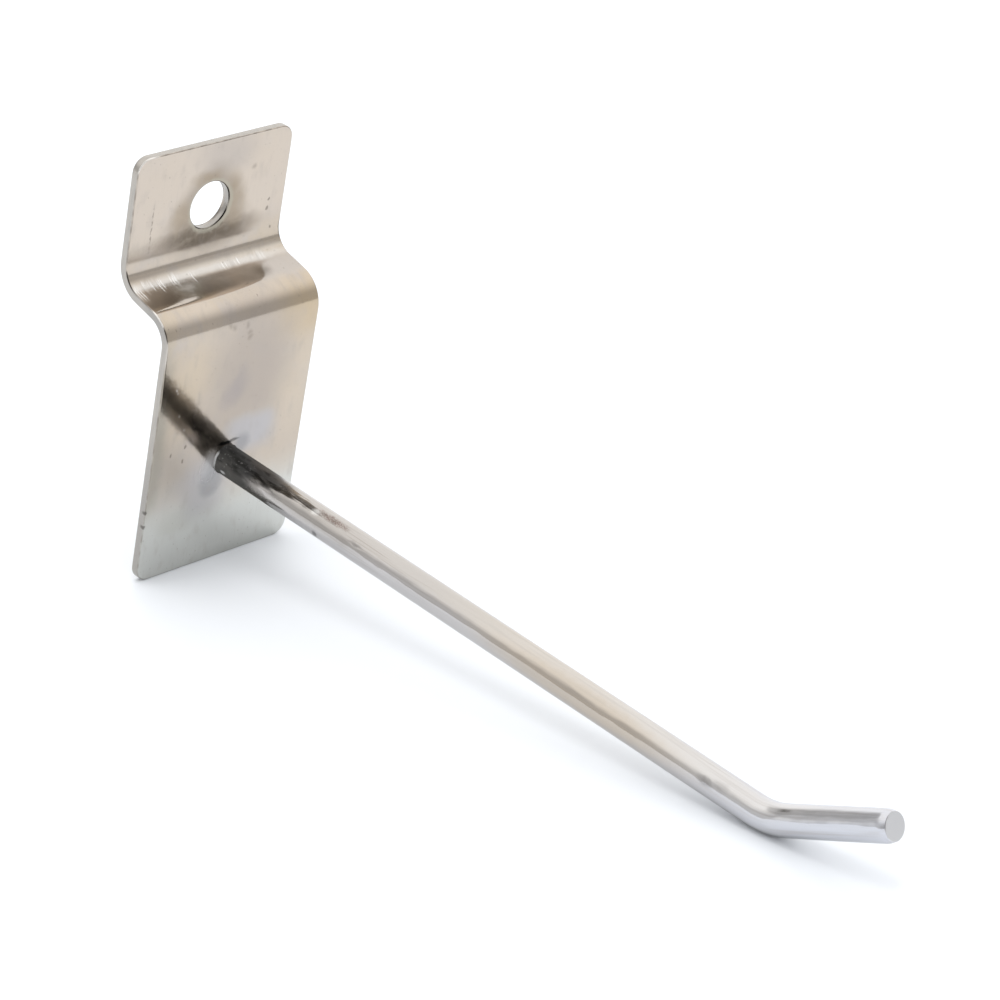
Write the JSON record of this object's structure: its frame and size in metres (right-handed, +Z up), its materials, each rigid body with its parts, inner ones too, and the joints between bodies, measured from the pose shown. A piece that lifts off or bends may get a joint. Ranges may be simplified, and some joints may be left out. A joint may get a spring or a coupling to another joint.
{
  "type": "panel hook",
  "caption": "Display panel hook: a folded steel plate with a set-back, holed tongue and a round wire arm welded square to it, its end turned up to hold hanging goods.",
  "frame": {"origin": "on the back face of the lower plate, in the middle of its width and level with the arm's axis", "axes": "+Z up, +Y into the panel that the plate lies against, the arm runs towards -Y, +X to the right when facing the panel"},
  "size_m": [0.039, 0.181, 0.0837],
  "materials": {
    "plate_nickel": "worn bright nickel plate on sheet steel, satin, with smudges and fine scratches",
    "arm_nickel": "bright nickel plate on drawn steel wire, lightly rubbed"
  },
  "bodies": {
    "root": {"back_plate": "plate_nickel", "arm": "arm_nickel"}
  },
  "joints": []
}
